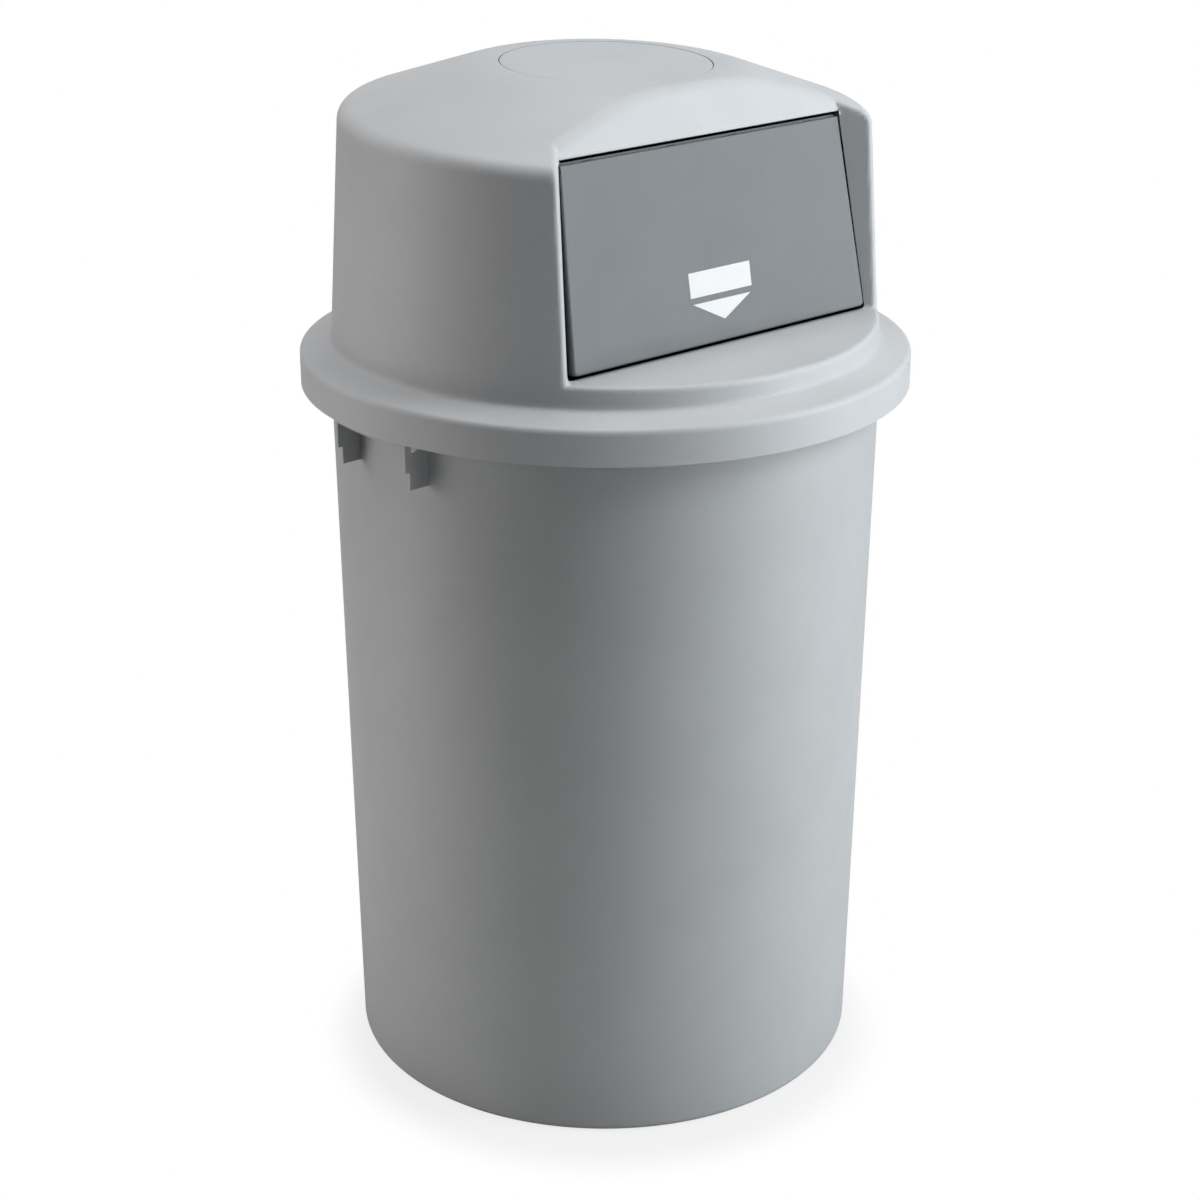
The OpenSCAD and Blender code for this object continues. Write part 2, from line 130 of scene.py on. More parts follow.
# Posts for the brackets' screws: z and y of each in the flap's frame, and how far its tip is from the middle
POSTS = ((-22, 5.8), (-9, -17))
POST_TIP = 175.5

# Springs: mean radius, pitch and turns of the coil, the wire, and the legs' reach
COIL_R = 4.2
COIL_PITCH = 2.4
COIL_TURNS = 6.75
WIRE_R = 0.7
FLAP_LEG = 30
LID_LEG = 19.1

# Grips: half the way between the ribs, their thickness, and the hole for a cord
GRIP_HALF = 48.5
GRIP_RIB = 3.0
CORD_HOLE_R = 3.75


# Shape helpers
def round_max(a, b, radius, cos_turn):
    """The larger of two distances, with the edge between them rounded.

    cos_turn is the cosine of the angle that the surface turns through there.
    """
    a, b = a + radius, b + radius
    arc = np.sqrt(np.maximum(a * a + b * b - 2 * a * b * cos_turn, 0) / (1 - cos_turn * cos_turn))
    on_arc = (a > b * cos_turn) & (b > a * cos_turn)
    return np.where(on_arc, arc, np.maximum(a, b)) - radius


def round_min(a, b, radius, cos_turn):
    """The smaller of two distances, with the inside corner between them filleted."""
    return -round_max(-a, -b, radius, cos_turn)


def slopes(distance, points):
    """Unit vectors square to the surface of a distance function, and its values."""
    step = 0.02
    x, y, z = points.T
    value = distance(x, y, z)
    slope = np.stack([
        distance(x + step, y, z) - distance(x - step, y, z),
        distance(x, y + step, z) - distance(x, y - step, z),
        distance(x, y, z + step) - distance(x, y, z - step),
    ], -1) / (2 * step)
    size = np.linalg.norm(slope, axis=1, keepdims=True)
    return slope / np.maximum(size, 1e-9), value / np.maximum(size[:, 0], 1e-3)


def graded(low, high, coarse, fine=0.0, zones=()):
    """Places along one axis: coarse steps, and fine ones inside the zones that hold small shapes."""
    places = [low]
    while places[-1] < high:
        near = any(a - coarse < places[-1] < b for a, b in zones)
        places.append(places[-1] + (fine if near else coarse))
    return np.array(places)


def skin(distance, lines):
    """Quads that lie on the zero of a distance function, one point for each crossed cell of a grid."""
    pitch = max(np.diff(line).max() for line in lines)
    value = distance(lines[0][:, None, None], lines[1][None, :, None], lines[2][None, None, :])
    value = np.broadcast_to(value, [len(line) for line in lines])
    inside = value < 0
    cells = [len(line) - 1 for line in lines]
    count = np.zeros(cells, np.int8)
    corners = [(i, j, k) for i in (0, 1) for j in (0, 1) for k in (0, 1)]
    for i, j, k in corners:
        count += inside[i:i + cells[0], j:j + cells[1], k:k + cells[2]]
    crossed = np.argwhere((count > 0) & (count < 8))
    number = np.full(cells, -1)
    number[tuple(crossed.T)] = np.arange(len(crossed))
    at = {c: value[tuple((crossed + c).T)] for c in corners}
    total, hits = np.zeros((len(crossed), 3)), np.zeros(len(crossed))
    for c in corners:
        for axis in range(3):
            if c[axis]:
                continue
            d = tuple(c[i] + (i == axis) for i in range(3))
            flip = (at[c] < 0) != (at[d] < 0)
            share = np.where(flip, at[c] / np.where(flip, at[c] - at[d], 1), 0)
            spot = np.array(c, float) + share[:, None] * np.eye(3)[axis]
            total += spot * flip[:, None]
            hits += flip
    share = total / hits[:, None]
    points = np.stack([
        lines[i][crossed[:, i]] + np.diff(lines[i])[crossed[:, i]] * share[:, i] for i in range(3)
    ], -1)
    quads = []
    for axis in range(3):
        p, q = [i for i in range(3) if i != axis]
        first = [slice(1, -1)] * 3
        second = [slice(1, -1)] * 3
        first[axis], second[axis] = slice(0, -1), slice(1, None)
        a, b = inside[tuple(first)], inside[tuple(second)]
        for facing, found in ((1, a & ~b), (-1, ~a & b)):
            spots = np.argwhere(found)
            spots[:, p] += 1
            spots[:, q] += 1
            ring = []
            for dp, dq in ((-1, -1), (0, -1), (0, 0), (-1, 0)):
                cell = spots.copy()
                cell[:, p] += dp
                cell[:, q] += dq
                ring.append(number[tuple(cell.T)])
            quads.append(np.stack(ring[::facing if axis != 1 else -facing], -1))
    quads = np.concatenate(quads)
    # the first rounds even out the spacing along the surface, and each one pulls the points back onto it
    edges = np.concatenate([quads[:, [i, (i + 1) % 4]] for i in range(4)])
    rounds, evening_rounds = 8, 4
    for turn in range(rounds):
        if turn < evening_rounds:
            mean, times = np.zeros_like(points), np.zeros(len(points))
            for i in (0, 1):
                np.add.at(mean, edges[:, i], points[edges[:, 1 - i]])
                np.add.at(times, edges[:, i], 1)
            mean /= np.maximum(times, 1)[:, None]
            way = slopes(distance, points)[0]
            pull = mean - points
            pull -= way * np.sum(pull * way, 1, keepdims=True)
            points = points + 0.5 * pull
        way, off = slopes(distance, points)
        points = points - way * np.clip(off, -pitch, pitch)[:, None]
    return points, quads


def to_bmesh(points, faces):
    bm = bmesh.new()
    verts = [bm.verts.new(p) for p in points]
    for face in faces:
        ring = list(dict.fromkeys(int(i) for i in face))
        if len(ring) > 2:
            try:
                bm.faces.new([verts[i] for i in ring])
            except ValueError:
                pass
    return bm


def from_bmesh(bm):
    bm.verts.index_update()
    points = np.array([v.co[:] for v in bm.verts])
    faces = [[v.index for v in f.verts] for f in bm.faces]
    bm.free()
    return points, faces


def thicken(points, faces, way, depth):
    """A skin with walls: the outer faces, the inner ones, and flat strips along the open edges."""
    n = len(points)
    inner = points - way * depth
    used = dict.fromkeys((a, face[(i + 1) % len(face)]) for face in faces for i, a in enumerate(face))
    rim = [(a, b) for a, b in used if (b, a) not in used]
    all_points, all_way = [points, inner], [way, -way]
    out = [list(f) for f in faces] + [[i + n for i in reversed(f)] for f in faces]
    if rim:
        a, b = np.array(rim).T
        along = points[b] - points[a]
        out_way = np.cross(along, way[a])
        out_way /= np.maximum(np.linalg.norm(out_way, axis=1, keepdims=True), 1e-9)
        mean = np.zeros((n, 3))
        np.add.at(mean, a, out_way)
        np.add.at(mean, b, out_way)
        mean /= np.maximum(np.linalg.norm(mean, axis=1, keepdims=True), 1e-9)
        edge = sorted(set(a.tolist()) | set(b.tolist()))
        place = {v: 2 * n + k for k, v in enumerate(edge)}
        all_points += [points[edge], inner[edge]]
        all_way += [mean[edge], mean[edge]]
        m = len(edge)
        out += [[place[q], place[p], place[p] + m, place[q] + m] for p, q in rim]
    return np.concatenate(all_points), out, np.concatenate(all_way)


def revolve(profile, turns=240):
    """A profile of (radius, height) turned about Z, with its outside on the left of the way it runs."""
    angles = 2 * math.pi * np.arange(turns) / turns
    points = np.array([[r * math.cos(a), r * math.sin(a), z] for r, z in profile for a in angles])
    rows = len(profile)
    faces = []
    for i in range(rows):
        a, b = i * turns, (i + 1) % rows * turns
        for k in range(turns):
            m = (k + 1) % turns
            faces.append([a + k, a + m, b + m, b + k])
    return points, faces


def arc(cx, cy, radius, start, end, steps):
    """Points along an arc; start and end are in degrees."""
    angles = [math.radians(start + (end - start) * i / steps) for i in range(steps + 1)]
    return [(cx + radius * math.cos(a), cy + radius * math.sin(a)) for a in angles]


def outline_plate(outline, holes, thickness, edge):
    """A flat plate from an outline and round holes, both in x and y, with a small round on its edges."""
    curve = bpy.data.curves.new("plate", "CURVE")
    curve.dimensions = "2D"
    curve.fill_mode = "BOTH"
    curve.extrude = thickness / 2 - edge
    curve.bevel_depth = edge
    curve.bevel_resolution = 2
    curve.offset = -edge
    for ring in [outline] + [arc(x, y, r, 0, 360 * 31 / 32, 31) for x, y, r in holes]:
        spline = curve.splines.new("POLY")
        spline.points.add(len(ring) - 1)
        for p, (x, y) in zip(spline.points, ring):
            p.co = (x, y, 0, 1)
        spline.use_cyclic_u = True
    return from_curve(curve)


def from_curve(curve):
    """The points and faces of a curve, which is used up."""
    holder = bpy.data.objects.new("curve", curve)
    mesh = bpy.data.meshes.new_from_object(holder)
    points = np.array([v.co[:] for v in mesh.vertices])
    faces = [list(f.vertices) for f in mesh.polygons]
    bpy.data.objects.remove(holder)
    bpy.data.curves.remove(curve)
    bpy.data.meshes.remove(mesh)
    return points, faces


def wire(path, radius):
    """Round wire along a path."""
    curve = bpy.data.curves.new("wire", "CURVE")
    curve.dimensions = "3D"
    curve.bevel_depth = radius
    curve.bevel_resolution = 3
    curve.use_fill_caps = True
    spline = curve.splines.new("POLY")
    spline.points.add(len(path) - 1)
    for p, place in zip(spline.points, path):
        p.co = (*place, 1)
    return from_curve(curve)


def block(low, high, edge):
    """A box with rounded edges."""
    bm = bmesh.new()
    bmesh.ops.create_cube(bm, size=1)
    for v in bm.verts:
        v.co = [low[i] + (high[i] - low[i]) * (v.co[i] + 0.5) for i in range(3)]
    bmesh.ops.bevel(bm, geom=bm.edges[:], offset=edge, segments=3, affect="EDGES", profile=0.5)
    return from_bmesh(bm)


def moved(part, matrix):
    """A part in a new place, with its faces still outwards if the matrix mirrors it."""
    points, faces = part
    m = np.array(matrix)
    flipped = np.linalg.det(m[:3, :3]) < 0
    return points @ m[:3, :3].T + m[:3, 3], [list(reversed(f)) for f in faces] if flipped else faces


def mirrored(side):
    """Leaves a part on the right for side 1 and turns it over to the left for side -1."""
    return Matrix.Scale(side, 4, (1, 0, 0))


def piece(name, parts, material, body, replaces=(), way=None):
    """One object from parts in millimetres; way holds ready normals for the first part's points.

    A body is its name, which the piece is attached to; a pair of names with two points attaches it to neither body
    and only bakes its place into its mesh.
    """
    points, faces, start = [], [], 0
    for p, f in parts:
        points.append(p)
        faces += [[i + start for i in face] for face in f]
        start += len(p)
    mesh = bpy.data.meshes.new(name)
    mesh.from_pydata((np.concatenate(points) * MM).tolist(), [], faces)
    mesh.update()
    mesh.polygons.foreach_set("use_smooth", [True] * len(mesh.polygons))
    mesh.set_sharp_from_angle(angle=math.radians(32))
    if way is not None:
        loops = np.zeros(len(mesh.loops), int)
        mesh.loops.foreach_get("vertex_index", loops)
        own = np.zeros(len(mesh.loops) * 3)
        mesh.corner_normals.foreach_get("vector", own)
        own = own.reshape(-1, 3)
        ready = loops < len(way)
        own[ready] = way[loops[ready]]
        mesh.normals_split_custom_set([tuple(v) for v in own])
    mesh.materials.append(material)
    obj = bpy.data.objects.new(name, mesh)
    bpy.context.scene.collection.objects.link(obj)
    if isinstance(body, str):
        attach(obj, body)
    else:
        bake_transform(obj)
    if replaces:
        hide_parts(*replaces)
    return obj


# Materials
def srgb(code):
    """A hex colour as the linear numbers that the renderer works in."""
    parts = [int(code[i:i + 2], 16) / 255 for i in (1, 3, 5)]
    return tuple([c / 12.92 if c <= 0.04045 else ((c + 0.055) / 1.055) ** 2.4 for c in parts] + [1.0])


def new_material(name):
    material = bpy.data.materials.new(name)
    material.use_nodes = True
    material.node_tree.nodes.clear()
    return material


def node(owner, kind, settings=None, **links):
    """Adds a node to a material or a world.

    A link's key is the input's name, or i and its number. Its value is an output socket, or the input's own value.
    """
    made = owner.node_tree.nodes.new(kind)
    for key, value in (settings or {}).items():
        setattr(made, key, value)
    for key, value in links.items():
        place = int(key[1:]) if key[0] == "i" and key[1:].isdigit() else key.replace("_", " ")
        if isinstance(value, bpy.types.NodeSocket):
            owner.node_tree.links.new(value, made.inputs[place])
        else:
            made.inputs[place].default_value = value
    return made


def moulded_plastic(name, base, pale, dark, roughness, grain_mm, grain_depth, scuffs):
    """Moulded polyethylene or polypropylene.

    The mould's fine leathery grain keeps the gloss soft, the colour clouds faintly, and handling has rubbed some
    patches duller and some smoother.
    """
    m = new_material(name)
    place = node(m, "ShaderNodeTexCoord").outputs["Object"]
    # clouds in the colour, about 120 mm across
    cloud = node(m, "ShaderNodeTexNoise", None, Vector=place, Scale=1 / 0.12, Detail=4.0, Roughness=0.55).outputs[0]
    low = node(m, "ShaderNodeMapRange", None, Value=cloud, i1=0.3, i2=0.5).outputs[0]
    high = node(m, "ShaderNodeMapRange", None, Value=cloud, i1=0.5, i2=0.72).outputs[0]
    tone = node(m, "ShaderNodeMix", {"data_type": "RGBA"}, i0=low, i6=srgb(dark), i7=srgb(base)).outputs[2]
    tone = node(m, "ShaderNodeMix", {"data_type": "RGBA"}, i0=high, i6=tone, i7=srgb(pale)).outputs[2]
    # the mould's grain, about a millimetre across: finer grain wouldn't show
    grain = node(m, "ShaderNodeTexNoise", None, Vector=place, Scale=1000 / grain_mm, Detail=2.0, Roughness=0.6)
    grain = grain.outputs[0]
    grey = node(m, "ShaderNodeMapRange", None, Value=grain, i1=0.25, i2=0.75, i3=0.42, i4=0.58).outputs[0]
    speck = node(m, "ShaderNodeMix", {"data_type": "RGBA", "blend_type": "OVERLAY"}, i0=0.35, i6=tone, i7=grey)
    bump = node(m, "ShaderNodeBump", None, Height=grain, Strength=0.5, Distance=grain_depth * MM).outputs[0]
    # rubbed patches, about 35 mm across
    wear = node(m, "ShaderNodeTexNoise", None, Vector=place, Scale=1 / 0.035, Detail=6.0, Roughness=0.65).outputs[0]
    dull = node(m, "ShaderNodeMapRange", None, Value=wear, i1=0.35, i2=0.7, i3=roughness - scuffs,
                i4=roughness + scuffs).outputs[0]
    shader = node(m, "ShaderNodeBsdfPrincipled", None, Base_Color=speck.outputs[2], Roughness=dull, IOR=1.5,
                  Normal=bump)
    node(m, "ShaderNodeOutputMaterial", None, Surface=shader.outputs[0])
    return m


def plated_steel(name, colour, roughness):
    """Drawn or zinc-plated steel: bright grey, its gloss broken up by a faint spangle about 3 mm across."""
    m = new_material(name)
    place = node(m, "ShaderNodeTexCoord").outputs["Object"]
    spangle = node(m, "ShaderNodeTexVoronoi", None, Vector=place, Scale=1 / 0.003).outputs["Color"]
    dull = node(m, "ShaderNodeMapRange", None, Value=spangle, i1=0.0, i2=1.0, i3=roughness - 0.06,
                i4=roughness + 0.08).outputs[0]
    shader = node(m, "ShaderNodeBsdfPrincipled", None, Base_Color=srgb(colour), Roughness=dull, Metallic=1.0)
    node(m, "ShaderNodeOutputMaterial", None, Surface=shader.outputs[0])
    return m


def moulded_rubber(name, colour):
    """Moulded black rubber: matt, with a fine pebbled skin about a millimetre across."""
    m = new_material(name)
    place = node(m, "ShaderNodeTexCoord").outputs["Object"]
    skin_grain = node(m, "ShaderNodeTexNoise", None, Vector=place, Scale=1 / 0.0012, Detail=2.0).outputs[0]
    bump = node(m, "ShaderNodeBump", None, Height=skin_grain, Strength=0.3, Distance=0.1 * MM).outputs[0]
    shader = node(m, "ShaderNodeBsdfPrincipled", None, Base_Color=srgb(colour), Roughness=0.75, Normal=bump)
    node(m, "ShaderNodeOutputMaterial", None, Surface=shader.outputs[0])
    return m


def printed_ink(name, colour):
    """White screen print on plastic: thin, even and slightly glossier than the plastic under it."""
    m = new_material(name)
    place = node(m, "ShaderNodeTexCoord").outputs["Object"]
    cloud = node(m, "ShaderNodeTexNoise", None, Vector=place, Scale=1 / 0.004, Detail=3.0).outputs[0]
    dull = node(m, "ShaderNodeMapRange", None, Value=cloud, i1=0.35, i2=0.65, i3=0.4, i4=0.48).outputs[0]
    shader = node(m, "ShaderNodeBsdfPrincipled", None, Base_Color=srgb(colour), Roughness=dull)
    node(m, "ShaderNodeOutputMaterial", None, Surface=shader.outputs[0])
    return m


tub_plastic = moulded_plastic(
    "moulded polyethylene, tub grey", "#a6a9aa", "#a8abac", "#a3a6a7",
    roughness=0.52, grain_mm=1.1, grain_depth=0.12, scuffs=0.05)
lid_plastic = moulded_plastic(
    "moulded polyethylene, lid grey", "#b0b3b5", "#b2b5b7", "#adb0b2",
    roughness=0.55, grain_mm=1.1, grain_depth=0.1, scuffs=0.05)
flap_plastic = moulded_plastic(
    "moulded polypropylene, flap grey", "#64696b", "#666b6d", "#626769",
    roughness=0.6, grain_mm=0.9, grain_depth=0.06, scuffs=0.02)
steel = plated_steel("zinc-plated steel", "#c3c6c8", 0.32)
spring_steel = plated_steel("drawn spring steel", "#a7aaac", 0.36)
rubber = moulded_rubber("moulded rubber", "#232425")
white_print = printed_ink("white screen print", "#c8c8c8")


# Lid
def brow_distance(y, z):
    """Distance in front of the brow's leaning face."""
    return ((z - MOUTH_Z) * math.tan(BROW_LEAN) - DOOR_TOP - y) * math.cos(BROW_LEAN)


def lid_distance(x, y, z):
    """Distance outside the lid's outer form, with the mouth cut into it, in mm."""
    across = np.hypot(x, y)
    wall = (across - WALL_FOOT_R + math.tan(WALL_DRAFT) * (z - JOIN_Z)) * math.cos(WALL_DRAFT)
    drop = z - CROWN_Z
    y_crown = y * math.cos(CROWN_TILT) + drop * math.sin(CROWN_TILT)
    h = drop * math.cos(CROWN_TILT) - y * math.sin(CROWN_TILT)
    reach = np.hypot(x, y_crown)
    bend = np.hypot(reach - DISC_R, h + CROWN_BEND_R) - CROWN_BEND_R
    cone = (reach - CONE_R) * math.sin(CONE_SLOPE) + (h - CONE_H) * math.cos(CONE_SLOPE)
    on_bend = (reach - DISC_R) * math.cos(CONE_SLOPE) < (h + CROWN_BEND_R) * math.sin(CONE_SLOPE)
    crown = np.where(reach < DISC_R, h, np.where(on_bend, bend, cone))
    dome = round_max(wall, crown, SHOULDER_R, WALL_TO_CROWN)
    slope = (across - WALL_FOOT_R) * math.sin(FLANGE_SLOPE) + (z - JOIN_Z) * math.cos(FLANGE_SLOPE)
    flange = round_max(across - FLANGE_R, slope, FLANGE_EDGE_R, SKIRT_TO_FLANGE)
    whole = round_min(dome, flange, WALL_FILLET_R, WALL_TO_FLANGE)
    shelf = (z - SHELF_Z - (y + DOOR_FOOT) * math.tan(SHELF_FALL)) * math.cos(SHELF_FALL)
    door = ((z - SHELF_Z) * math.tan(MOUTH_LEAN) - DOOR_FOOT - y) * math.cos(MOUTH_LEAN) + DOOR_CUT
    back = np.maximum(brow_distance(y, z), np.minimum(door, MOUTH_Z - BROW_SPARE - z))
    cheek = -((np.abs(x) - MOUTH_HALF) * math.cos(CHEEK_LEAN) * math.cos(CHEEK_SPLAY)
              + (y + DOOR_FOOT) * math.cos(CHEEK_LEAN) * math.sin(CHEEK_SPLAY)
              - (z - SHELF_Z) * math.sin(CHEEK_LEAN))
    with_shelf = round_max(whole, shelf, SHELF_EDGE_R, ANY_TO_SHELF)
    with_brow = round_max(whole, back, BROW_EDGE_R, DOME_TO_BROW)
    with_cheek = round_max(whole, cheek, CHEEK_EDGE_R, DOME_TO_CHEEK)
    # the fillets between the cut faces fade out towards the outer form
    sunk = np.clip(-whole / FILLET_FADE, 0.002, 1.0)
    mouth = round_min(with_brow, with_cheek, CHEEK_FILLET_R * sunk, BROW_TO_CHEEK)
    return round_min(mouth, with_shelf, SHELF_FILLET_R * sunk, ANY_TO_SHELF)


def crown_place():
    """The crown's own frame: origin on top, tilted to the front."""
    return Matrix.Translation((0, 0, CROWN_Z)) @ Matrix.Rotation(CROWN_TILT, 4, "X")


def cut_line(bm, point, normal, drop_past=False):
    """Draws a line of edges where a plane meets the mesh, and can drop what lies past the plane."""
    bmesh.ops.bisect_plane(bm, geom=bm.verts[:] + bm.edges[:] + bm.faces[:], dist=1e-4, plane_co=point,
                           plane_no=normal, clear_outer=drop_past)


def seat_ring():
    """The ring under the flange that stands on the tub's rim."""
    r = WALL_FOOT_R + 9.0
    roof = JOIN_Z - (r + 1.5 - WALL_FOOT_R) * math.tan(FLANGE_SLOPE) - LID_WALL / 2
    return revolve([(r, RIM_Z + 0.6), (r + 0.6, RIM_Z), (r + 2.4, RIM_Z), (r + 3.0, RIM_Z + 0.6), (r + 3.0, roof),
                    (r, roof)])


def disc_ledge():
    """The ledge round the hole in the crown, which carries the blanking disc."""
    low, high = DISC_R - 8.0, REBATE_R + 4.5
    profile = [(low + 0.6, -3.0), (low, -3.5), (low, -6.0), (low + 0.6, -6.5), (high, -6.5), (high, -1.6),
               (REBATE_R + 0.3, -3.0)]
    return moved(revolve(profile), crown_place())


def screw_posts():
    """Four hollow posts that run out from the brackets to the wall."""
    posts = []
    turn = Matrix.Rotation(math.radians(90), 4, "Y")
    for side in (-1, 1):
        for z, y in POSTS:
            at = flap_place() @ Vector((side * POST_TIP, y, z))
            # the upper posts meet the wall where its draft has narrowed it
            wall_r = 238.6 if at.z > 890 else 240.0
            length = math.sqrt(wall_r ** 2 - at.y ** 2) - 1.0 - POST_TIP
            tube = revolve([(2.1, 0), (5.2, 0), (5.5, 0.3), (5.5, length), (2.1, length)], 32)
            posts.append(moved(tube, mirrored(side) @ Matrix.Translation((POST_TIP, at.y, at.z)) @ turn))
    return posts


def make_lid():
    pitch = 3.8
    level = graded(-290, 290, pitch)
    # the plain wall between the shelf and the shoulder needs fewer rows
    height = graded(662, 968, 2 * pitch, pitch, [(662, 752), (880, 968)])
    points, quads = skin(lid_distance, [level, level, height])
    bm = to_bmesh(points, quads)
    cut_line(bm, (0, 0, SKIRT_Z), (0, 0, -1), True)
    # opens the mouth along its plane and the brow's lower edge
    door_normal = Vector((0, math.cos(MOUTH_LEAN), -math.sin(MOUTH_LEAN)))
    door_point = Vector((0, -DOOR_FOOT, SHELF_Z))
    cut_line(bm, door_point, door_normal)
    cut_line(bm, (0, 0, MOUTH_Z), (0, 0, 1))
    # the brow's lower edge runs from cheek to cheek
    brow_half = MOUTH_HALF - (DOOR_FOOT - DOOR_TOP) * math.tan(CHEEK_SPLAY)
    brow_half += (MOUTH_Z - SHELF_Z) * math.tan(CHEEK_LEAN) / math.cos(CHEEK_SPLAY)
    for side in (-1, 1):
        cut_line(bm, (side * brow_half, 0, 0), (1, 0, 0))
    gone = []
    for face in bm.faces:
        c = face.calc_center_median()
        if c.z > MOUTH_Z:
            continue
        behind = (c - door_point).dot(door_normal)
        in_door = 0 < behind < DOOR_CUT + 1 and abs(c.x) < MOUTH_HALF + 6 and c.z > SHELF_Z - 1
        under_brow = (c.z > MOUTH_Z - 6 and brow_distance(c.y, c.z) < 0.6 and abs(c.x) < brow_half
                      and c.y < -DOOR_TOP + 2)
        if in_door or under_brow:
            gone.append(face)
    bmesh.ops.delete(bm, geom=gone, context="FACES")
    # opens the crown for the disc and lays the edge on its circle
    place = crown_place()
    back = place.inverted()

    def on_crown(v, reach):
        local = back @ v.co
        return local.z > -3 and local.xy.length < reach

    inner = [f for f in bm.faces if all(on_crown(v, REBATE_R + pitch * 0.4) for v in f.verts)]
    bmesh.ops.delete(bm, geom=inner, context="FACES")
    for v in bm.verts:
        if on_crown(v, REBATE_R + 3 * pitch) and any(e.is_boundary for e in v.link_edges):
            flat = (back @ v.co).xy.normalized() * REBATE_R
            v.co = place @ Vector((flat.x, flat.y, 0.0))
    bmesh.ops.delete(bm, geom=[v for v in bm.verts if not v.link_faces], context="VERTS")
    points, faces = from_bmesh(bm)
    way = slopes(lid_distance, points)[0]
    shell, faces, way = thicken(points, faces, way, LID_WALL)
    inside = [seat_ring(), disc_ledge()]
    # the shelf's inner edge turns down, and a bead runs along the brow's lower edge
    inside.append(block((-MOUTH_HALF - 2, -DOOR_FOOT - 3, SHELF_Z - 12),
                        (MOUTH_HALF + 2, -DOOR_FOOT, SHELF_Z - 1.4), 0.8))
    inside.append(block((-brow_half, -DOOR_TOP - 0.05, MOUTH_Z - 1.3),
                        (brow_half, -DOOR_TOP + 2.4, MOUTH_Z + 0.6), 0.6))
    inside += screw_posts()
    piece("domed_lid", [(shell, faces)] + inside, lid_plastic, "lid", ["lid"], way)


def make_disc():
    """The blanking disc: slightly crowned, with a soft edge, a skirt and snap hooks below."""
    rise = 1.0
    cap_r = (DISC_R ** 2 + rise ** 2) / (2 * rise)
    top = [(r, math.sqrt(cap_r ** 2 - r * r) - cap_r + rise) for r in np.linspace(0.01, DISC_R - 1.2, 14)]
    skirt_r = DISC_R - 8.5
    under = [(DISC_R - 0.3, -3.0), (skirt_r, -3.0), (skirt_r, -7.1), (skirt_r - 0.4, -7.5),
             (skirt_r - 2.1, -7.5), (skirt_r - 2.5, -7.1), (skirt_r - 2.5, -3.0), (0.01, -3.0)]
    edge_h = top[-1][1] - 1.0
    profile = top + arc(DISC_R - 1.2, edge_h, 1.0, 90, 0, 5)[1:] + [(DISC_R - 0.2, -2.9)] + under
    parts = [moved(revolve(profile[::-1]), crown_place())]
    hook, hooks = [(0, -11.5), (4, -8.1), (4, -6.8), (0, -6.8)], 6
    for i in range(hooks):
        plate = outline_plate(hook, [], 10.0, 0.3)
        turn = crown_place() @ Matrix.Rotation(math.radians(360 / hooks * i), 4, "Z")
        upright = Matrix.Translation((skirt_r - 2.5, 0, 0)) @ Matrix.Rotation(math.radians(90), 4, "X")
        parts.append(moved(plate, turn @ upright))
    piece("crown_blanking_disc", parts, lid_plastic, "lid", ["crown_disc"])


# Flap
def flap_place():
    """The flap's own frame, on the hinge."""
    depth = DOOR_FOOT - math.tan(MOUTH_LEAN) * (MOUTH_Z - 3.8 - SHELF_Z)
    depth += HINGE_R * (math.sin(FLAP_LEAN) - math.cos(FLAP_LEAN))
    z = MOUTH_Z - 3.8 - HINGE_R * (math.cos(FLAP_LEAN) + math.sin(FLAP_LEAN))
    return Matrix.Translation((0, -depth, z)) @ Matrix.Rotation(math.pi / 2 - FLAP_LEAN, 4, "X")


